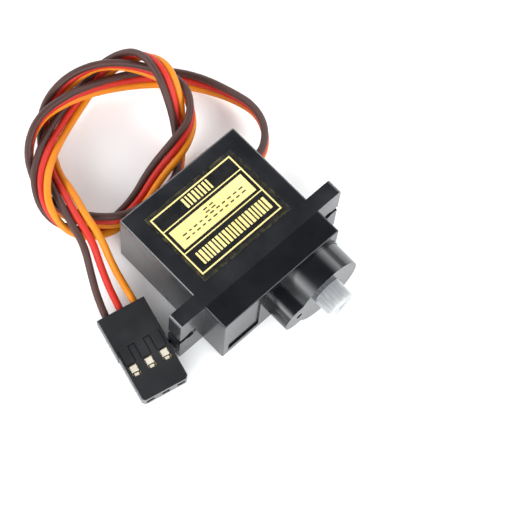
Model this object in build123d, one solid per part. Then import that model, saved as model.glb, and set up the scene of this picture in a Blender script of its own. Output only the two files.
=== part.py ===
from build123d import *
import math
import os

# Micro servo motor with a three-wire lead, lying on one broad side.
# X runs along the case and the mounting ears, with the output shaft near +X.
# Y runs along the output shaft, which points to -Y. Z is up, and the part stands on z = 0.
# Heights called h are measured from the outside of the bottom cover towards the shaft.

# Driving dimensions, millimetres
CASE_LENGTH = 22.8
CASE_THICK = 12.2
CASE_WALL = 1.0
COVER_HEIGHT = 5.1
EAR_START = 15.9
MIDDLE_TOP = 18.4
CASE_TOP = 22.7
EAR_SPAN = 32.2
EAR_HOLE_SPACING = 27.8
EAR_HOLE_R = 1.0
EAR_SLOT_WIDTH = 1.2
TOWER_HEIGHT = 4.4
TOWER_BIG_R = 5.9
TOWER_SMALL_R = 2.8
TOWER_WALL = 0.9
SPLINE_LENGTH = 3.2
SPLINE_R = 2.4
SPLINE_TEETH = 21
SPLINE_TIP_ROUND = 0.55
POCKET_DEPTH = 0.25
EDGE_R = 0.3

# Places worked out from the driving dimensions
TOWER_TOP = CASE_TOP + TOWER_HEIGHT
TOTAL_HEIGHT = TOWER_TOP + SPLINE_LENGTH
BASE_Y = TOTAL_HEIGHT / 2
HALF_X = CASE_LENGTH / 2
MID_Z = CASE_THICK / 2
INNER_X = HALF_X - CASE_WALL
OUTPUT_X = HALF_X - TOWER_BIG_R
DECK_LOW = 16.4
DECK_TOP = 17.4

# Gear train: motor pinion, two double gears on a pin, one on the output axis, output gear
GEAR_DISTANCE = 5.8
PIN_X = OUTPUT_X - GEAR_DISTANCE
MOTOR_X = PIN_X - GEAR_DISTANCE
STAGE_1 = (10, 48)
STAGE_2 = (11, 41)
STAGE_3 = (12, 34)
STAGE_4 = (11, 29)
PIN_R = 0.5
SHAFT_R = 0.5
POT_SHAFT_R = 0.7
RUNNING_GAP = 0.05

# Case screws stand in the four corners
SCREW_X = 10.1
SCREW_Z_OFFSET = 4.8
SCREW_R = 0.7
SCREW_POST_R = 1.25

# Circuit board and its parts
BOARD_LOW = 2.6
BOARD_TOP = 3.4

# Lead and connector
WIRE_D = 1.15
WIRE_PITCH = 1.18
PIN_PITCH = 2.54
CONNECTOR = (7.7, 14.0, 2.6)
COLLAR_WIDTH = 7.95
COLLAR_START = 0.4
CONNECTOR_PLACE = Pos(-19.92, 0.51, 2.09) * Rot(0, 0, -13.7) * Rot(0, -4, 0) * Rot(4, 0, 0)

# Route of the middle wire: x, y, z, and the lean of the ribbon in degrees.
# At a lean of 0 the ribbon lies flat with brown on the right, and at 90 it stands with brown on top.
ROUTE = [
    (7.1, 11.1, 6.1, 90),
    (12.4, 10.2, 6.1, 90),
    (17.0, 12.9, 5.1, 96),
    (19.4, 17.7, 3.7, 100),
    (18.7, 22.8, 2.5, 93),
    (16.8, 27.8, 1.8, 69),
    (13.7, 32.1, 1.6, 53),
    (8.9, 35.2, 2.4, 63),
    (3.7, 37.1, 3.8, 83),
    (-1.7, 37.9, 5.8, 90),
    (-7.3, 38.2, 6.1, 96),
    (-11.6, 36.1, 4.4, 87),
    (-14.2, 31.7, 2.7, 86),
    (-14.6, 26.3, 2.7, 91),
    (-12.6, 21.0, 4.0, 97),
    (-8.6, 17.3, 4.2, 96),
    (-2.9, 16.8, 3.2, 96),
    (2.1, 17.3, 2.1, 99),
    (5.5, 20.2, 1.8, 107),
    (8.3, 23.5, 4.1, 125),
    (9.8, 26.4, 8.1, 158),
    (11.0, 30.3, 10.5, 164),
    (11.2, 34.9, 8.7, 116),
    (9.0, 38.2, 5.1, 77),
    (4.5, 39.1, 2.6, 59),
    (-0.5, 37.9, 1.9, 42),
    (-5.3, 36.0, 3.1, 25),
    (-9.8, 33.5, 5.1, 11),
    (-13.9, 30.4, 6.1, -21),
    (-16.6, 26.0, 5.4, -71),
    (-15.7, 21.6, 3.1, -132),
    (-11.2, 18.9, 1.1, -151),
    (-4.8, 18.9, 1.1, -165),
    (0.5, 20.3, 3.4, -179),
    (5.6, 20.5, 5.8, -203),
    (9.8, 22.0, 6.4, -256),
    (12.7, 26.5, 6.5, -279),
    (11.4, 31.6, 6.3, -270),
    (8.5, 36.0, 6.8, -257),
    (4.5, 39.1, 7.0, -254),
    (-0.2, 40.3, 5.4, -288),
    (-4.9, 39.7, 3.3, -298),
    (-8.5, 35.5, 1.1, -314),
    (-11.0, 31.1, 2.1, -336),
    (-12.5, 26.5, 5.3, -363),
    (-14.2, 21.4, 7.0, -369),
    (-15.0, 17.1, 6.8, -367),
    (-16.4, 13.6, 4.5, -362),
    (-17.7, 9.6, 2.9, -363),
    (-18.9, 4.79, 2.29, -364),
]
# How far the outer wires stand from the middle one near the connector, in pitches
FAN_OUT = [1.04, 1.15, 1.45, 1.95, 2.153]


def y_at(h):
    return BASE_Y - h


def block(x, h, z):
    """A box from ranges of x, height h and z."""
    size_x = x[1] - x[0]
    size_y = h[1] - h[0]
    size_z = z[1] - z[0]
    middle = Pos((x[0] + x[1]) / 2, y_at((h[0] + h[1]) / 2), (z[0] + z[1]) / 2)
    return middle * Box(size_x, size_y, size_z)


def rod(x, z, radius, h_low, h_high):
    """A round bar along Y between two heights."""
    return Pos(x, y_at((h_low + h_high) / 2), z) * Rot(90, 0, 0) * Cylinder(radius, h_high - h_low)


def union(shapes):
    total = shapes[0]
    for shape in shapes[1:]:
        total = total + shape
    return total


def save(node, shape):
    shape.label = node
    export_step(shape, f"parts/{node}.step")


def screw_places():
    return [(sx * SCREW_X, MID_Z + sz * SCREW_Z_OFFSET) for sx in (-1, 1) for sz in (-1, 1)]


def corner_posts(h_low, h_high):
    return union([rod(x, z, SCREW_POST_R, h_low, h_high) for x, z in screw_places()])


def screw_holes(h_low, h_high, radius):
    return union([rod(x, z, radius, h_low, h_high) for x, z in screw_places()])


# ---------------------------------------------------------------- case

def case_slab(h_low, h_high):
    """The outside of one layer of the case, with its four long edges rounded."""
    slab = block((-HALF_X, HALF_X), (h_low, h_high), (0, CASE_THICK))
    return fillet(slab.edges().filter_by(Axis.Y), EDGE_R)


def cable_slot():
    """The opening in the +X wall that the ribbon leaves through, at the cover's seam."""
    return block((INNER_X - 0.2, HALF_X + 0.2), (4.0, 5.9), (MID_Z - 2.0, MID_Z + 2.0))


def make_bottom_cover():
    cover = case_slab(0, COVER_HEIGHT)
    cover = fillet(cover.faces().sort_by(Axis.Y)[-1].edges(), EDGE_R)
    cover -= block((-INNER_X, INNER_X), (CASE_WALL, COVER_HEIGHT), (CASE_WALL, CASE_THICK - CASE_WALL))
    cover += corner_posts(CASE_WALL, COVER_HEIGHT)
    cover -= screw_holes(0, COVER_HEIGHT, SCREW_R + 0.1)
    cover -= screw_holes(0, 1.1, 1.15)
    return cover - cable_slot()


def make_ear(side):
    """One mounting ear, with its hole and the slot that opens at the tip."""
    tip = EAR_SPAN / 2
    hole_x = EAR_HOLE_SPACING / 2
    ear = block((HALF_X - 0.5, tip), (EAR_START, MIDDLE_TOP), (0, CASE_THICK))
    tip_edges = ear.edges().filter_by(Axis.Y).sort_by(Axis.X)[-2:]
    ear = fillet(tip_edges, 0.5)
    ear -= rod(hole_x, MID_Z, EAR_HOLE_R, EAR_START, MIDDLE_TOP)
    slot_z = (MID_Z - EAR_SLOT_WIDTH / 2, MID_Z + EAR_SLOT_WIDTH / 2)
    ear -= block((hole_x, tip), (EAR_START, MIDDLE_TOP), slot_z)
    return ear if side > 0 else mirror(ear, Plane.YZ)


def make_middle_case():
    case = case_slab(COVER_HEIGHT, MIDDLE_TOP) + make_ear(1) + make_ear(-1)
    inside_z = (CASE_WALL, CASE_THICK - CASE_WALL)
    case -= block((-INNER_X, INNER_X), (COVER_HEIGHT, DECK_LOW), inside_z)
    case -= block((-INNER_X, INNER_X), (DECK_TOP, MIDDLE_TOP), inside_z)
    case += corner_posts(COVER_HEIGHT, MIDDLE_TOP)
    case += block((-0.9, -0.1), (9.0, DECK_LOW), inside_z)
    case -= screw_holes(COVER_HEIGHT, MIDDLE_TOP, SCREW_R + 0.1)
    case -= rod(MOTOR_X, MID_Z, 1.6, DECK_LOW, DECK_TOP)
    case -= rod(OUTPUT_X, MID_Z, 1.0, DECK_LOW, DECK_TOP)
    case -= rod(PIN_X, MID_Z, PIN_R, DECK_LOW, DECK_TOP)
    return case - cable_slot()


def make_top_case():
    case = case_slab(MIDDLE_TOP, CASE_TOP)
    case = fillet(case.faces().sort_by(Axis.Y)[0].edges(), EDGE_R * 0.6)
    case += rod(OUTPUT_X, MID_Z, TOWER_BIG_R, CASE_TOP - 0.5, TOWER_TOP)
    case += rod(PIN_X, MID_Z, TOWER_SMALL_R, CASE_TOP - 0.5, TOWER_TOP)
    foot = rod(OUTPUT_X, MID_Z, TOWER_BIG_R + 0.15, CASE_TOP - 0.5, CASE_TOP + 0.3)
    case += foot & block((-HALF_X, HALF_X), (MIDDLE_TOP, TOWER_TOP), (0, CASE_THICK))
    roof = CASE_TOP - CASE_WALL
    tower_roof = TOWER_TOP - TOWER_WALL
    case -= block((-INNER_X, INNER_X), (MIDDLE_TOP, roof), (CASE_WALL, CASE_THICK - CASE_WALL))
    case -= rod(OUTPUT_X, MID_Z, TOWER_BIG_R - TOWER_WALL, roof - 0.1, tower_roof)
    case -= rod(PIN_X, MID_Z, TOWER_SMALL_R - 0.85, roof - 0.1, tower_roof)
    case += corner_posts(MIDDLE_TOP, roof + 0.1)
    case -= screw_holes(MIDDLE_TOP, roof, SCREW_R)
    case -= rod(OUTPUT_X, MID_Z, 2.65, tower_roof, TOWER_TOP)
    case -= rod(PIN_X, MID_Z, PIN_R + 0.05, tower_roof, TOWER_TOP)
    pocket = block((-10.3, -4.15), (CASE_TOP - POCKET_DEPTH, CASE_TOP), (1.35, 10.85))
    return case - pocket


def make_case_screws():
    screws = []
    for x, z in screw_places():
        head = rod(x, z, 1.05, 0.1, 1.1)
        slot = block((x - 1.1, x + 1.1), (0.1, 0.5), (z - 0.15, z + 0.15))
        cross = block((x - 0.15, x + 0.15), (0.1, 0.5), (z - 1.1, z + 1.1))
        screws.append(head + rod(x, z, SCREW_R, 1.1, 21.2) - slot - cross)
    return Compound(children=screws)


def make_label():
    film_x = (2.7 - HALF_X, 20.0 - HALF_X)
    return block(film_x, (2.4, 15.5), (CASE_THICK, CASE_THICK + 0.08))


# ---------------------------------------------------------------- gears

def tooth_ring(teeth, pitch_r, module, phase):
    """Outline of a spur gear: four points for each tooth."""
    tip_r = pitch_r + 0.7 * module
    root_r = pitch_r - 1.0 * module
    step = 2 * math.pi / teeth
    points = []
    for tooth in range(teeth):
        middle = math.radians(phase) + tooth * step
        for radius, offset in ((root_r, -0.26), (tip_r, -0.11), (tip_r, 0.11), (root_r, 0.26)):
            angle = middle + offset * step
            points.append((radius * math.cos(angle), radius * math.sin(angle)))
    return points


def spur(x, teeth, mate_teeth, phase, h_low, h_high):
    """A toothed disc on an axis along Y. The two gears of a stage share one module."""
    module = 2 * GEAR_DISTANCE / (teeth + mate_teeth)
    outline = tooth_ring(teeth, teeth * module / 2, module, phase)
    plane = Plane(origin=(x, y_at(h_low), MID_Z), x_dir=(1, 0, 0), z_dir=(0, -1, 0))
    face = make_face(Polyline(outline, close=True))
    return extrude(plane * face, amount=h_high - h_low)


def make_motor_pinion():
    small, large = STAGE_1
    return spur(MOTOR_X, small, large, 0, 17.65, 18.65) - rod(MOTOR_X, MID_Z, SHAFT_R, 17.6, 18.7)


def make_gear_1():
    small, large = STAGE_1
    wheel = spur(PIN_X, large, small, 180 + 180 / large, 17.7, 18.6)
    small, large = STAGE_2
    pinion = spur(PIN_X, small, large, 0, 18.6, 19.85)
    hub = rod(PIN_X, MID_Z, 1.1, 17.5, 17.7)
    return wheel + pinion + hub - rod(PIN_X, MID_Z, PIN_R + RUNNING_GAP, 17.4, 19.9)


def make_gear_2():
    small, large = STAGE_2
    wheel = spur(OUTPUT_X, large, small, 180 + 180 / large, 18.8, 19.75)
    small, large = STAGE_3
    pinion = spur(OUTPUT_X, small, large, 180, 19.75, 21.1)
    return wheel + pinion - rod(OUTPUT_X, MID_Z, POT_SHAFT_R + 0.08, 18.7, 21.2)


def make_gear_3():
    small, large = STAGE_3
    wheel = spur(PIN_X, large, small, 180 / large, 20.05, 21.0)
    small, large = STAGE_4
    pinion = spur(PIN_X, small, large, 0, 21.0, 23.5)
    return wheel + pinion - rod(PIN_X, MID_Z, PIN_R + RUNNING_GAP, 19.9, 23.6)


def make_output_gear():
    """The last gear, its journal in the tower and the toothed shaft end, all in one piece."""
    small, large = STAGE_4
    wheel = spur(OUTPUT_X, large, small, 180 + 180 / large, 21.3, 23.2)
    hub = rod(OUTPUT_X, MID_Z, 3.2, 23.2, 26.1)
    journal = rod(OUTPUT_X, MID_Z, 2.6, 26.1, TOWER_TOP)
    step = 2 * math.pi / SPLINE_TEETH
    points = []
    for tooth in range(SPLINE_TEETH):
        for radius, offset in ((SPLINE_R - 0.17, -0.3), (SPLINE_R, 0.0)):
            angle = (tooth + offset) * step
            points.append((radius * math.cos(angle), radius * math.sin(angle)))
    plane = Plane(origin=(OUTPUT_X, y_at(TOWER_TOP), MID_Z), x_dir=(1, 0, 0), z_dir=(0, -1, 0))
    spline = extrude(plane * make_face(Polyline(points, close=True)), amount=SPLINE_LENGTH)
    rounded = rod(OUTPUT_X, MID_Z, SPLINE_R, TOWER_TOP, TOTAL_HEIGHT)
    spline &= fillet(rounded.edges().sort_by(Axis.Y)[0], SPLINE_TIP_ROUND)
    gear = wheel + hub + journal + spline
    gear -= rod(OUTPUT_X, MID_Z, POT_SHAFT_R, 21.2, 22.9)
    return gear - rod(OUTPUT_X, MID_Z, 0.9, TOTAL_HEIGHT - 6.0, TOTAL_HEIGHT)


def make_gear_pin():
    return rod(PIN_X, MID_Z, PIN_R, DECK_LOW, TOWER_TOP - 0.3)


# ---------------------------------------------------------------- motor and sensor

def motor_profile(radius, half_width, h_low, h_high):
    """A round body with two flat sides."""
    body = rod(MOTOR_X, MID_Z, radius, h_low, h_high)
    flats = block((MOTOR_X - half_width, MOTOR_X + half_width), (h_low, h_high), (0, CASE_THICK))
    return body & flats


def make_motor_can():
    can = motor_profile(4.9, 4.0, 6.2, 16.3) + rod(MOTOR_X, MID_Z, 1.5, 16.3, 17.0)
    can -= motor_profile(4.5, 3.6, 6.2, 15.9)
    return can - rod(MOTOR_X, MID_Z, SHAFT_R + RUNNING_GAP, 15.8, 17.0)


def make_motor_magnets():
    ring = rod(MOTOR_X, MID_Z, 4.5, 8.0, 15.0) - rod(MOTOR_X, MID_Z, 3.5, 8.0, 15.0)
    upper = ring & block((MOTOR_X - 2.9, MOTOR_X + 2.9), (8.0, 15.0), (MID_Z + 1, MID_Z + 5))
    lower = ring & block((MOTOR_X - 2.9, MOTOR_X + 2.9), (8.0, 15.0), (MID_Z - 5, MID_Z - 1))
    return Compound(children=[upper.solids()[0], lower.solids()[0]])


def make_motor_armature():
    """Three-pole laminated core, standing on the shaft."""
    core = rod(MOTOR_X, MID_Z, 1.2, 8.6, 14.6)
    for pole in range(3):
        arm = block((MOTOR_X, MOTOR_X + 2.9), (9.0, 14.2), (MID_Z - 0.5, MID_Z + 0.5))
        shoe = rod(MOTOR_X, MID_Z, 3.2, 9.0, 14.2) - rod(MOTOR_X, MID_Z, 2.6, 9.0, 14.2)
        shoe &= block((MOTOR_X + 1.0, MOTOR_X + 3.4), (9.0, 14.2), (MID_Z - 2.2, MID_Z + 2.2))
        axis = Axis((MOTOR_X, 0, MID_Z), (0, 1, 0))
        core += (arm + shoe).rotate(axis, 120 * pole)
    return core - rod(MOTOR_X, MID_Z, SHAFT_R, 8.5, 14.7)


def make_motor_shaft():
    return rod(MOTOR_X, MID_Z, SHAFT_R, 5.0, 18.75)


def make_motor_end_cap():
    cap = motor_profile(4.9, 4.0, 4.9, 6.2) + motor_profile(4.45, 3.55, 6.2, 6.9)
    cap -= rod(MOTOR_X, MID_Z, 1.6, 6.1, 6.9)
    return cap - rod(MOTOR_X, MID_Z, SHAFT_R + RUNNING_GAP, 4.9, 6.3)


def make_motor_terminals():
    tabs = [block((MOTOR_X - 0.6, MOTOR_X + 0.6), (BOARD_TOP, 4.9), (z - 0.15, z + 0.15))
            for z in (MID_Z - 3.2, MID_Z + 3.2)]
    return Compound(children=tabs)


def make_potentiometer_body():
    body = rod(OUTPUT_X, MID_Z, 4.5, 11.6, DECK_LOW)
    body += block((OUTPUT_X - 2.6, OUTPUT_X + 2.6), (11.6, 13.0), (MID_Z - 4.9, MID_Z))
    return body - rod(OUTPUT_X, MID_Z, POT_SHAFT_R + 0.08, 12.4, DECK_LOW)


def make_potentiometer_shaft():
    return rod(OUTPUT_X, MID_Z, POT_SHAFT_R, 12.5, 22.8)


def make_potentiometer_leads():
    leads = [rod(OUTPUT_X + dx, 2.4, 0.3, BOARD_TOP, 11.6) for dx in (-1.9, 0, 1.9)]
    return Compound(children=leads)


# ---------------------------------------------------------------- circuit board

def make_circuit_board():
    board = block((-10.2, 10.2), (BOARD_LOW, BOARD_TOP), (1.2, 11.0))
    return board - screw_holes(BOARD_LOW, BOARD_TOP, SCREW_POST_R + 0.15)


def make_control_chip():
    body = block((-3.0, 3.2), (1.3, 2.45), (4.0, 8.2))
    legs = [block((x - 0.17, x + 0.17), (2.2, BOARD_LOW), (3.2, 9.0)) for x in (-2.1, -0.7, 0.7, 2.1)]
    return union([body] + legs)


def make_board_capacitors():
    parts = [block((x - 0.5, x + 0.5), (1.9, BOARD_LOW), (z - 0.9, z + 0.9))
             for x, z in ((-6.5, 4.2), (-6.5, 8.0), (6.6, 4.2), (6.6, 8.0))]
    return Compound(children=parts)


# ---------------------------------------------------------------- lead and connector

def side_vector(before, after, lean):
    """Unit vector across the ribbon, towards the brown wire."""
    along = (Vector(*after[:3]) - Vector(*before[:3])).normalized()
    right = along.cross(Vector(0, 0, 1)).normalized()
    above = right.cross(along)
    return right * math.cos(math.radians(lean)) + above * math.sin(math.radians(lean))


def wire_points(side):
    """Route points of one wire: side is 1 for brown, 0 for red and -1 for orange."""
    points = []
    last = len(ROUTE) - 1
    for index, (x, y, z, lean) in enumerate(ROUTE):
        before = ROUTE[max(index - 1, 0)]
        after = ROUTE[min(index + 1, last)]
        from_end = last - index
        spread = FAN_OUT[-1 - from_end] if from_end < len(FAN_OUT) else 1.0
        points.append(Vector(x, y, z) + side_vector(before, after, lean) * (side * spread * WIRE_PITCH))
    return points


def bend_radii(points):
    """Each arc takes 0.45 of its shorter run."""
    radii = []
    for before, corner, after in zip(points, points[1:], points[2:]):
        run_in = corner - before
        run_out = after - corner
        turn = math.radians(run_in.get_angle(run_out))
        radii.append(0.45 * min(run_in.length, run_out.length) / math.tan(turn / 2))
    return radii


def make_wire(name, side):
    points = wire_points(side)
    radii = bend_radii(points)
    path = FilletPolyline(*points, radius=radii)
    start = Plane(origin=path @ 0, z_dir=path % 0)
    wire = sweep(start * Circle(WIRE_D / 2), path=path)
    section = math.pi * WIRE_D ** 2 / 4
    runs = [(b - a).length for a, b in zip(points, points[1:])]
    ratio = wire.volume / (section * path.length)
    print(name, "length", round(path.length, 1), "volume ratio", round(ratio, 4))
    print("  radii", [round(r, 1) for r in radii])
    print("  runs", [round(r, 1) for r in runs])
    return wire


def cavity_places():
    return (-PIN_PITCH, 0, PIN_PITCH)


def make_connector_housing():
    width, length, thick = CONNECTOR
    top = thick / 2
    collar_length = length / 2 - COLLAR_START
    housing = Pos(0, -collar_length / 2, 0) * Box(width, length - collar_length, thick)
    housing = chamfer(housing.edges().filter_by(Axis.Z).sort_by(Axis.Y)[:2], 0.5)
    housing = fillet(housing.edges().filter_by(Axis.Y), 0.25)
    collar = Pos(0, COLLAR_START + collar_length / 2, 0) * Box(COLLAR_WIDTH, collar_length, thick)
    housing += fillet(collar.edges().filter_by(Axis.Y), 0.25)
    for u in cavity_places():
        housing -= Pos(u, 0.6, -0.1) * Box(1.9, length, 1.7)
        housing -= Pos(u, -length / 2, -0.1) * Box(1.25, 3.0, 1.0)
        housing -= Pos(u, -2.15, top - 0.4) * Box(1.5, 2.1, 0.9)
    for u in (-PIN_PITCH / 2, PIN_PITCH / 2):
        for edge in (-0.5, 0.5):
            housing -= Pos(u + edge, 0.2, top) * Box(0.16, 2.5, 0.5)
        housing -= Pos(u, 1.4, top) * Box(1.16, 0.16, 0.5)
    for u in (-3.4, 3.4):
        housing -= Pos(u, 0.2, top) * Box(0.16, 2.5, 0.5)
    return CONNECTOR_PLACE * housing


def make_connector_terminals():
    """Crimped box contacts, one in each cavity."""
    terminals = []
    for u in cavity_places():
        contact = Pos(u, -2.7, -0.1) * Box(1.7, 5.6, 1.5)
        contact -= Pos(u, -2.7, -0.1) * Box(1.3, 5.6, 0.9)
        contact += Pos(u, 0.7, -0.75) * Box(1.2, 1.4, 0.2)
        crimp = Pos(u, 3.1, -0.1) * Rot(90, 0, 0) * (Cylinder(0.84, 3.6) - Cylinder(WIRE_D / 2 + 0.07, 3.6))
        terminals.append(CONNECTOR_PLACE * (contact + crimp))
    return Compound(children=terminals)


# ---------------------------------------------------------------- write one file for each piece

PIECES = {
    "bottom_cover": make_bottom_cover,
    "middle_case": make_middle_case,
    "top_case": make_top_case,
    "case_screws": make_case_screws,
    "label": make_label,
    "motor_can": make_motor_can,
    "motor_magnets": make_motor_magnets,
    "motor_end_cap": make_motor_end_cap,
    "motor_terminals": make_motor_terminals,
    "motor_armature": make_motor_armature,
    "motor_shaft": make_motor_shaft,
    "motor_pinion": make_motor_pinion,
    "gear_pin": make_gear_pin,
    "gear_1": make_gear_1,
    "gear_2": make_gear_2,
    "gear_3": make_gear_3,
    "output_gear": make_output_gear,
    "potentiometer_body": make_potentiometer_body,
    "potentiometer_shaft": make_potentiometer_shaft,
    "potentiometer_leads": make_potentiometer_leads,
    "circuit_board": make_circuit_board,
    "control_chip": make_control_chip,
    "board_capacitors": make_board_capacitors,
    "connector_housing": make_connector_housing,
    "connector_terminals": make_connector_terminals,
}

os.makedirs("parts", exist_ok=True)
for node, make in PIECES.items():
    save(node, make())
for node, side in (("wire_brown", 1), ("wire_red", 0), ("wire_orange", -1)):
    save(node, make_wire(node, side))
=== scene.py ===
import math

import bmesh
import bpy
from mathutils import Matrix, Vector


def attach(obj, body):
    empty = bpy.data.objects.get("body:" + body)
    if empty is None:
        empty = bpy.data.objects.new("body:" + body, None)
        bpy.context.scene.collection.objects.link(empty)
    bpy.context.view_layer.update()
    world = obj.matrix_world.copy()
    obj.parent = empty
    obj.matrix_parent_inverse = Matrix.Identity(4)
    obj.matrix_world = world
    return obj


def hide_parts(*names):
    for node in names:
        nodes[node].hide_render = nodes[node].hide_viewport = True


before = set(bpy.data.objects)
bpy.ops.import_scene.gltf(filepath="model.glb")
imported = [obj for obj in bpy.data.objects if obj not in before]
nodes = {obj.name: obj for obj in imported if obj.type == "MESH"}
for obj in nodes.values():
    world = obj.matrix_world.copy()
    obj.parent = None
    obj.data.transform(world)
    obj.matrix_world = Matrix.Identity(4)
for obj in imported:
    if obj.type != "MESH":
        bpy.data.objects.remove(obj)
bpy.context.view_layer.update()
MM = 0.001

# ------------------------------------------------------------------ camera
CAM_AZIMUTH = math.radians(-50.925)
CAM_ELEVATION = math.radians(66.968)
CAM_ROLL = math.radians(8.094)
CAM_DISTANCE = 0.273445
CAM_TARGET = Vector((0.001597, -0.000686, 0.006))
CAM_LENS = 129.17
CAM_SENSOR = 36.0
CAM_CLIP_START = 0.01


def make_camera():
    back = Vector((math.sin(CAM_AZIMUTH) * math.cos(CAM_ELEVATION),
                   -math.cos(CAM_AZIMUTH) * math.cos(CAM_ELEVATION),
                   math.sin(CAM_ELEVATION)))
    right = Vector((0, 0, 1)).cross(back).normalized()
    up = back.cross(right)
    across = right * math.cos(CAM_ROLL) + up * math.sin(CAM_ROLL)
    above = up * math.cos(CAM_ROLL) - right * math.sin(CAM_ROLL)
    data = bpy.data.cameras.new("camera")
    data.lens = CAM_LENS
    data.sensor_width = CAM_SENSOR
    data.clip_start = CAM_CLIP_START
    cam = bpy.data.objects.new("camera", data)
    turn = Matrix((across, above, back)).transposed().to_4x4()
    cam.matrix_world = Matrix.Translation(CAM_TARGET + back * CAM_DISTANCE) @ turn
    bpy.context.scene.collection.objects.link(cam)
    bpy.context.scene.camera = cam


make_camera()
bpy.context.scene.view_settings.view_transform = "Standard"

# ------------------------------------------------------------------ lead
WIRE_D = 1.15
WIRE_PITCH = 1.18
WIRE_ROUND_STEPS = 5
WIRE_LENGTH_STEPS = 12
# Route of the middle wire: x, y, z in millimetres, and the lean of the ribbon in degrees
ROUTE = [
    (7.1, 11.1, 6.1, 90),
    (12.4, 10.2, 6.1, 90),
    (17.0, 12.9, 5.1, 96),
    (19.4, 17.7, 3.7, 100),
    (18.7, 22.8, 2.5, 93),
    (16.8, 27.8, 1.8, 69),
    (13.7, 32.1, 1.6, 53),
    (8.9, 35.2, 2.4, 63),
    (3.7, 37.1, 3.8, 83),
    (-1.7, 37.9, 5.8, 90),
    (-7.3, 38.2, 6.1, 96),
    (-11.6, 36.1, 4.4, 87),
    (-14.2, 31.7, 2.7, 86),
    (-14.6, 26.3, 2.7, 91),
    (-12.6, 21.0, 4.0, 97),
    (-8.6, 17.3, 4.2, 96),
    (-2.9, 16.8, 3.2, 96),
    (2.1, 17.3, 2.1, 99),
    (5.5, 20.2, 1.8, 107),
    (8.3, 23.5, 4.1, 125),
    (9.8, 26.4, 8.1, 158),
    (11.0, 30.3, 10.5, 164),
    (11.2, 34.9, 8.7, 116),
    (9.0, 38.2, 5.1, 77),
    (4.5, 39.1, 2.6, 59),
    (-0.5, 37.9, 1.9, 42),
    (-5.3, 36.0, 3.1, 25),
    (-9.8, 33.5, 5.1, 11),
    (-13.9, 30.4, 6.1, -21),
    (-16.6, 26.0, 5.4, -71),
    (-15.7, 21.6, 3.1, -132),
    (-11.2, 18.9, 1.1, -151),
    (-4.8, 18.9, 1.1, -165),
    (0.5, 20.3, 3.4, -179),
    (5.6, 20.5, 5.8, -203),
    (9.8, 22.0, 6.4, -256),
    (12.7, 26.5, 6.5, -279),
    (11.4, 31.6, 6.3, -270),
    (8.5, 36.0, 6.8, -257),
    (4.5, 39.1, 7.0, -254),
    (-0.2, 40.3, 5.4, -288),
    (-4.9, 39.7, 3.3, -298),
    (-8.5, 35.5, 1.1, -314),
    (-11.0, 31.1, 2.1, -336),
    (-12.5, 26.5, 5.3, -363),
    (-14.2, 21.4, 7.0, -369),
    (-15.0, 17.1, 6.8, -367),
    (-16.4, 13.6, 4.5, -362),
    (-17.7, 9.6, 2.9, -363),
    (-18.9, 4.79, 2.29, -364),
]
# How far the outer wires stand from the middle one near the connector, in pitches
FAN_OUT = [1.04, 1.15, 1.45, 1.95, 2.153]


def wire_points(side):
    """Route points of one wire: side is 1 for brown, 0 for red and -1 for orange."""
    points = []
    last = len(ROUTE) - 1
    for index, (x, y, z, lean) in enumerate(ROUTE):
        before = Vector(ROUTE[max(index - 1, 0)][:3])
        after = Vector(ROUTE[min(index + 1, last)][:3])
        along = (after - before).normalized()
        right = along.cross(Vector((0, 0, 1))).normalized()
        above = right.cross(along)
        tilt = math.radians(lean)
        across = right * math.cos(tilt) + above * math.sin(tilt)
        from_end = last - index
        spread = FAN_OUT[-1 - from_end] if from_end < len(FAN_OUT) else 1.0
        points.append((Vector((x, y, z)) + across * (side * spread * WIRE_PITCH)) * MM)
    return points


def make_wire(name, side):
    """A tube whose thickness comes from the radius of its points."""
    data = bpy.data.curves.new(name, "CURVE")
    data.dimensions = "3D"
    data.bevel_depth = 1.0
    data.bevel_resolution = WIRE_ROUND_STEPS
    data.use_fill_caps = True
    data.resolution_u = WIRE_LENGTH_STEPS
    points = wire_points(side)
    spline = data.splines.new("NURBS")
    spline.points.add(len(points) - 1)
    for point, place in zip(spline.points, points):
        point.co = (*place, 1.0)
        point.radius = WIRE_D / 2 * MM
    spline.order_u = 3
    spline.use_endpoint_u = True
    wire = bpy.data.objects.new(name, data)
    bpy.context.scene.collection.objects.link(wire)
    return wire


# The three wires of the lead, in place of the model's wires
CORDS = []
for name, side, length in (("brown", 1, 0.2546), ("red", 0, 0.2550), ("orange", -1, 0.2566)):
    wire = make_wire(f"lead_{name}", side)
    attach(wire, "case")
    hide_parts(f"wire_{name}")
    CORDS.append(wire)

# ------------------------------------------------------------------ materials
SLOW_SCALE = 140
GRAIN_STRENGTH = 0.35
ROUGH_SPREAD = 0.05
COAT_ROUGHNESS = 0.15
SUBSURFACE_TINT = (1.0, 0.95, 0.85)


def node_tree(name):
    mat = bpy.data.materials.new(name)
    mat.use_nodes = True
    tree = mat.node_tree
    return mat, tree, tree.nodes["Principled BSDF"]


def noise(tree, scale, detail=3.0, roughness=0.55):
    place = tree.nodes.new("ShaderNodeTexCoord")
    node = tree.nodes.new("ShaderNodeTexNoise")
    node.inputs["Scale"].default_value = scale
    node.inputs["Detail"].default_value = detail
    node.inputs["Roughness"].default_value = roughness
    tree.links.new(place.outputs["Object"], node.inputs["Vector"])
    return node.outputs["Fac"]


def ramp(tree, fac, low, high, from_low=0.3, from_high=0.7):
    node = tree.nodes.new("ShaderNodeMapRange")
    node.inputs["From Min"].default_value = from_low
    node.inputs["From Max"].default_value = from_high
    node.inputs["To Min"].default_value = low
    node.inputs["To Max"].default_value = high
    tree.links.new(fac, node.inputs["Value"])
    return node.outputs["Result"]


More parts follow.
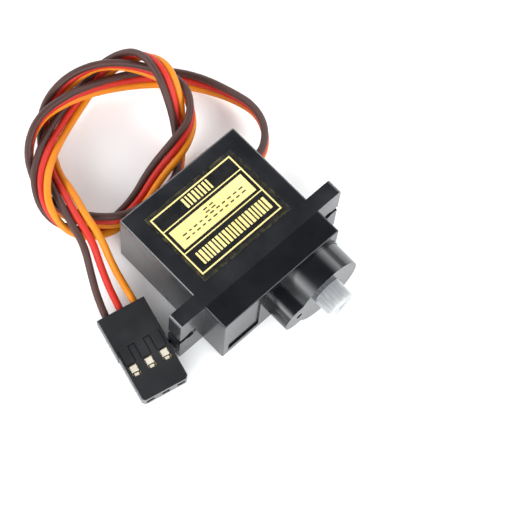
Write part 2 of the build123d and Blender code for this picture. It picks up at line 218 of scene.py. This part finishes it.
def mix_colors(tree, fac, one, two):
    node = tree.nodes.new("ShaderNodeMix")
    node.data_type = "RGBA"
    node.inputs["A"].default_value = (*one, 1)
    node.inputs["B"].default_value = (*two, 1)
    tree.links.new(fac, node.inputs["Factor"])
    return node.outputs["Result"]


def multiply(tree, one, two):
    node = tree.nodes.new("ShaderNodeMath")
    node.operation = "MULTIPLY"
    tree.links.new(one, node.inputs[0])
    tree.links.new(two, node.inputs[1])
    return node.outputs[0]


def bump(tree, height, strength, distance):
    node = tree.nodes.new("ShaderNodeBump")
    node.inputs["Strength"].default_value = strength
    node.inputs["Distance"].default_value = distance
    tree.links.new(height, node.inputs["Height"])
    return node.outputs["Normal"]


def surface(name, dark, light, rough, grain=900, bump_depth=0.00001, metallic=0.0, coat=0.0,
            ior=1.5, specular=0.5, subsurface=0.0, subsurface_radius=0.001):
    """A moulded or metal surface with slow colour changes, fine grain and uneven roughness."""
    mat, tree, bsdf = node_tree(name)
    slow = noise(tree, SLOW_SCALE, 4)
    fine = noise(tree, grain, 2)
    color = mix_colors(tree, ramp(tree, slow, 0, 1), dark, light)
    tree.links.new(color, bsdf.inputs["Base Color"])
    uneven = ramp(tree, slow, rough - ROUGH_SPREAD, rough + ROUGH_SPREAD)
    tree.links.new(uneven, bsdf.inputs["Roughness"])
    tree.links.new(bump(tree, fine, GRAIN_STRENGTH, bump_depth), bsdf.inputs["Normal"])
    bsdf.inputs["Metallic"].default_value = metallic
    bsdf.inputs["IOR"].default_value = ior
    bsdf.inputs["Specular IOR Level"].default_value = specular
    bsdf.inputs["Coat Weight"].default_value = coat
    bsdf.inputs["Coat Roughness"].default_value = COAT_ROUGHNESS
    if subsurface:
        bsdf.inputs["Subsurface Weight"].default_value = subsurface
        bsdf.inputs["Subsurface Radius"].default_value = SUBSURFACE_TINT
        bsdf.inputs["Subsurface Scale"].default_value = subsurface_radius
    return mat


MATS = {
    "case": surface("case_plastic", (0.0050, 0.0052, 0.0068), (0.0085, 0.0090, 0.0115), 0.24, 2600,
                    0.000006, ior=1.95),
    "tower": surface("tower_plastic", (0.0045, 0.0047, 0.0060), (0.0075, 0.0079, 0.0098), 0.20, 2600,
                     0.000001, ior=1.55),
    "connector": surface("connector_plastic", (0.010, 0.0103, 0.0115), (0.015, 0.0155, 0.0172), 0.30,
                         2600, 0.000008, ior=1.8),
    "nylon": surface("nylon", (0.27, 0.276, 0.285), (0.32, 0.326, 0.335), 0.60, 1800, 0.000004,
                     specular=0.3, subsurface=1.0, subsurface_radius=0.004),
    "steel": surface("motor_steel", (0.55, 0.55, 0.57), (0.66, 0.66, 0.68), 0.28, 1800, 0.000004,
                     metallic=1.0),
    "black_steel": surface("black_steel", (0.02, 0.02, 0.022), (0.035, 0.035, 0.038), 0.35, 1800,
                           metallic=0.6),
    "ferrite": surface("ferrite", (0.05, 0.05, 0.055), (0.08, 0.08, 0.085), 0.6),
    "iron": surface("laminations", (0.16, 0.14, 0.12), (0.25, 0.23, 0.20), 0.45, metallic=0.8),
    "brass": surface("brass", (0.66, 0.48, 0.20), (0.76, 0.58, 0.27), 0.3, metallic=1.0),
    "sensor": surface("sensor_plastic", (0.04, 0.045, 0.045), (0.06, 0.065, 0.065), 0.5),
    "tin": surface("tinned_contact", (0.20, 0.175, 0.12), (0.32, 0.28, 0.20), 0.36, metallic=0.6),
    "ivory": surface("contact_face", (0.40, 0.36, 0.29), (0.52, 0.47, 0.39), 0.40),
    "gilt": surface("contact_tab", (0.26, 0.19, 0.08), (0.36, 0.27, 0.13), 0.34, metallic=0.5),
    "board": surface("solder_mask", (0.01, 0.07, 0.03), (0.015, 0.10, 0.045), 0.3, coat=0.3),
    "chip": surface("chip_epoxy", (0.012, 0.012, 0.012), (0.02, 0.02, 0.02), 0.55),
    "capacitor": surface("capacitor_body", (0.30, 0.20, 0.11), (0.36, 0.25, 0.14), 0.45),
    "brown": surface("brown_insulation", (0.040, 0.0145, 0.0115), (0.058, 0.0235, 0.019), 0.50, 2200,
                     0.000006, specular=0.32),
    "red": surface("red_insulation", (0.40, 0.013, 0.006), (0.49, 0.021, 0.011), 0.50, 2200, 0.000006,
                   specular=0.30),
    "orange": surface("orange_insulation", (0.545, 0.155, 0.002), (0.63, 0.205, 0.006), 0.50, 2200, 0.000006,
                      specular=0.30),
    "gold": surface("label_gold", (0.57, 0.47, 0.175), (0.67, 0.57, 0.24), 0.34, 900, 0.000002),
    "ink": surface("label_ink", (0.020, 0.019, 0.012), (0.035, 0.033, 0.022), 0.34, 900, 0.000002),
}

# The film is clear over black, with grime along its edges
FILM_X = (-8.7, 8.6)
FILM_Y = (-0.35, 12.75)
GRIME_WIDTH = 0.75
FILM_COLOR = (0.0075, 0.0075, 0.0080)
GRIME_COLOR = (0.060, 0.054, 0.026)


def film_material():
    mat, tree, bsdf = node_tree("label_film")
    place = tree.nodes.new("ShaderNodeTexCoord")
    split = tree.nodes.new("ShaderNodeSeparateXYZ")
    tree.links.new(place.outputs["Object"], split.inputs[0])
    nearest = None
    for axis, (low, high) in (("X", FILM_X), ("Y", FILM_Y)):
        for edge, sign in ((low, 1.0), (high, -1.0)):
            gap = tree.nodes.new("ShaderNodeMath")
            gap.operation = "MULTIPLY_ADD"
            gap.inputs[1].default_value = sign
            gap.inputs[2].default_value = -sign * edge * MM
            tree.links.new(split.outputs[axis], gap.inputs[0])
            if nearest is None:
                nearest = gap.outputs[0]
                continue
            least = tree.nodes.new("ShaderNodeMath")
            least.operation = "MINIMUM"
            tree.links.new(nearest, least.inputs[0])
            tree.links.new(gap.outputs[0], least.inputs[1])
            nearest = least.outputs[0]
    border = ramp(tree, nearest, 1.0, 0.0, 0.0, GRIME_WIDTH * MM)
    blotch = ramp(tree, noise(tree, 900, 4, 0.7), 0.0, 1.0, 0.42, 0.66)
    color = mix_colors(tree, multiply(tree, border, blotch), FILM_COLOR, GRIME_COLOR)
    tree.links.new(color, bsdf.inputs["Base Color"])
    tree.links.new(ramp(tree, noise(tree, 500, 4), 0.20, 0.38), bsdf.inputs["Roughness"])
    return mat


MATS["film"] = film_material()

NODE_MATS = {
    "bottom_cover": "case", "middle_case": "case", "top_case": "tower", "case_screws": "black_steel",
    "label": "film", "motor_can": "steel", "motor_magnets": "ferrite", "motor_end_cap": "nylon",
    "motor_terminals": "brass", "motor_armature": "iron", "motor_shaft": "steel", "motor_pinion": "brass",
    "gear_pin": "steel", "gear_1": "nylon", "gear_2": "nylon", "gear_3": "nylon", "output_gear": "nylon",
    "potentiometer_body": "sensor", "potentiometer_shaft": "sensor", "potentiometer_leads": "tin",
    "circuit_board": "board", "control_chip": "chip", "board_capacitors": "capacitor",
    "connector_housing": "connector", "connector_terminals": "tin",
}
for node, key in NODE_MATS.items():
    mesh = nodes[node].data
    mesh.materials.clear()
    mesh.materials.append(MATS[key])
for wire, key in zip(CORDS, ("brown", "red", "orange")):
    wire.data.materials.append(MATS[key])

# ------------------------------------------------------------------ pieces added to the model


def slabs(name, boxes, place, key):
    """One mesh of flat-topped blocks with bevelled upper edges: x, y and z ranges in millimetres."""
    data = bpy.data.meshes.new(name)
    mesh = bmesh.new()
    for (x0, x1), (y0, y1), (z0, z1), rim in boxes:
        rings = []
        for inset, height in ((0.0, z0), (0.0, z1 - rim), (rim, z1)):
            corners = ((x0 + inset, y0 + inset), (x1 - inset, y0 + inset),
                       (x1 - inset, y1 - inset), (x0 + inset, y1 - inset))
            rings.append([mesh.verts.new(place @ Vector((x * MM, y * MM, height * MM)))
                          for x, y in corners])
        for below, above in zip(rings, rings[1:]):
            for k in range(4):
                mesh.faces.new((below[k], below[(k + 1) % 4], above[(k + 1) % 4], above[k]))
        mesh.faces.new(rings[-1])
        mesh.faces.new(rings[0][::-1])
    mesh.to_mesh(data)
    mesh.free()
    data.materials.append(MATS[key])
    piece = bpy.data.objects.new(name, data)
    bpy.context.scene.collection.objects.link(piece)
    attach(piece, "case")
    return piece


# Label print. Along runs from the -X edge of the case, and down runs from the bottom cover's edge.
CASE_X = -11.4
COVER_Y = 15.15
LABEL_Z = 12.28
PRINT_LAYER = 0.012
PRINT_LIFT = 0.002
PRINT_TOP = 0.014
PRINT_RIM = 0.003
LINE_WIDTH = 0.24
RULE_WIDTH = 0.18


def print_box(along, down, layer=0):
    z = LABEL_Z + PRINT_LAYER * layer
    return ((CASE_X + along[0], CASE_X + along[1]), (COVER_Y - down[1], COVER_Y - down[0]),
            (z + PRINT_LIFT, z + PRINT_TOP), PRINT_RIM)


def bar_row(start, widths, gap, down, layer=0):
    row = []
    along = start
    for width in widths:
        row.append(print_box((along, along + width), down, layer))
        along += width + gap
    return row


def make_label_print():
    """A ruled gold frame with rows of plain bars, and short dark dashes on its middle panel."""
    left, right, top, bottom = 3.2, 19.05, 3.1, 14.5
    line = LINE_WIDTH
    gold = [print_box((left, right), (top, top + line)), print_box((left, right), (bottom - line, bottom)),
            print_box((left, left + line), (top + line, bottom - line)),
            print_box((right - line, right), (top + line, bottom - line))]
    for down in (5.75, 10.3):
        gold.append(print_box((left + line, right - line), (down, down + RULE_WIDTH)))
    gold.append(print_box((3.95, 18.25), (6.4, 9.85)))
    gold += bar_row(8.8, (0.42, 0.30, 0.42, 0.42, 0.30, 0.42, 0.42, 0.30), 0.30, (3.6, 5.35))
    gold += bar_row(4.6, (0.34, 0.5, 0.34, 0.34, 0.5, 0.34, 0.5) * 3, 0.25, (11.3, 13.5))
    slabs("label_print", gold, Matrix.Identity(4), "gold")
    ink = []
    dashes = (0.75, 0.45, 0.65, 0.55, 0.6, 0.75, 0.65, 0.6, 0.65, 0.65, 0.75)
    for down in ((8.0, 8.22), (8.72, 8.94)):
        ink += bar_row(5.2, dashes, 0.48, down, 1)
    for down in ((6.95, 7.15), (7.5, 7.7)):
        ink += bar_row(10.2, (0.75, 0.75), 0.4, down, 1)
    slabs("label_marks", ink, Matrix.Identity(4), "ink")


def turned(axis, degrees):
    return Matrix.Rotation(math.radians(degrees), 4, axis)


CONNECTOR_PLACE = (Matrix.Translation((-0.01992, 0.00051, 0.00209)) @ turned("Z", -13.7) @ turned("Y", -4)
                   @ turned("X", 4))
PIN_PITCH = 2.54
CONTACT_TOP = 0.65
FACE_TOP = 1.12


def make_contact_details():
    """Faces and tabs of the contacts seen in the windows of the connector."""
    faces, tabs = [], []
    for u in (-PIN_PITCH, 0.0, PIN_PITCH):
        faces.append(((u - 0.62, u + 0.62), (-2.42, -1.35), (CONTACT_TOP, FACE_TOP), 0.12))
        faces.append(((u - 0.36, u + 0.36), (-3.15, -2.62), (CONTACT_TOP, FACE_TOP), 0.08))
        for side in (-1, 1):
            tabs.append(((u + side * 0.62 - 0.1, u + side * 0.62 + 0.1), (-3.1, -2.62),
                         (CONTACT_TOP, 1.0), 0.05))
            tabs.append(((u + side * 0.64 - 0.08, u + side * 0.64 + 0.08), (-1.75, -1.35),
                         (CONTACT_TOP, 0.95), 0.04))
    slabs("contact_faces", faces, CONNECTOR_PLACE, "ivory")
    slabs("contact_tabs", tabs, CONNECTOR_PLACE, "gilt")


make_label_print()
make_contact_details()

# ------------------------------------------------------------------ floor and light
FLOOR_HALF = 3.0
PAPER_DARK = (0.93, 0.93, 0.93)
PAPER_LIGHT = (0.95, 0.95, 0.95)
# Strength of the light just above the floor, above that, and overhead
SKY_HORIZON = 0.2
SKY_LOW = 5.8
SKY_HIGH = 0.05
# Heights, as the sine of the elevation, between which the light comes up and fades again
BAND_START = (0.33, 0.45)
BAND_END = (0.52, 0.82)
# The light is stronger from one side
SKY_FRONT = 1.5
SKY_BACK = 0.7
SKY_FRONT_WAY = (-0.75, -0.66, 0.0)
SKY_SIDE_SPAN = 0.9
SKY_COLOR = (0.965, 0.985, 1.0, 1)


def make_floor():
    data = bpy.data.meshes.new("floor")
    half = FLOOR_HALF
    corners = [(-half, -half, 0), (half, -half, 0), (half, half, 0), (-half, half, 0)]
    data.from_pydata(corners, [], [(0, 1, 2, 3)])
    floor = bpy.data.objects.new("floor", data)
    bpy.context.scene.collection.objects.link(floor)
    mat, tree, bsdf = node_tree("paper")
    bsdf.inputs["Roughness"].default_value = 0.9
    bsdf.inputs["Specular IOR Level"].default_value = 0.1
    color = mix_colors(tree, noise(tree, 60), PAPER_DARK, PAPER_LIGHT)
    tree.links.new(color, bsdf.inputs["Base Color"])
    data.materials.append(mat)


def make_world():
    """A bright band part way up all round, dim at the horizon and dark overhead."""
    world = bpy.data.worlds.new("studio")
    bpy.context.scene.world = world
    world.use_nodes = True
    tree = world.node_tree
    place = tree.nodes.new("ShaderNodeTexCoord")
    split = tree.nodes.new("ShaderNodeSeparateXYZ")
    tree.links.new(place.outputs["Generated"], split.inputs[0])
    level = ramp(tree, split.outputs["Z"], SKY_LOW, SKY_HIGH, *BAND_END)
    facing = tree.nodes.new("ShaderNodeVectorMath")
    facing.operation = "DOT_PRODUCT"
    facing.inputs[1].default_value = SKY_FRONT_WAY
    tree.links.new(place.outputs["Generated"], facing.inputs[0])
    side = ramp(tree, facing.outputs["Value"], SKY_BACK, SKY_FRONT, -SKY_SIDE_SPAN, SKY_SIDE_SPAN)
    low = ramp(tree, split.outputs["Z"], SKY_HORIZON, 1.0, *BAND_START)
    both = multiply(tree, multiply(tree, level, side), low)
    background = tree.nodes["Background"]
    background.inputs["Color"].default_value = SKY_COLOR
    tree.links.new(both, background.inputs["Strength"])


make_floor()
make_world()
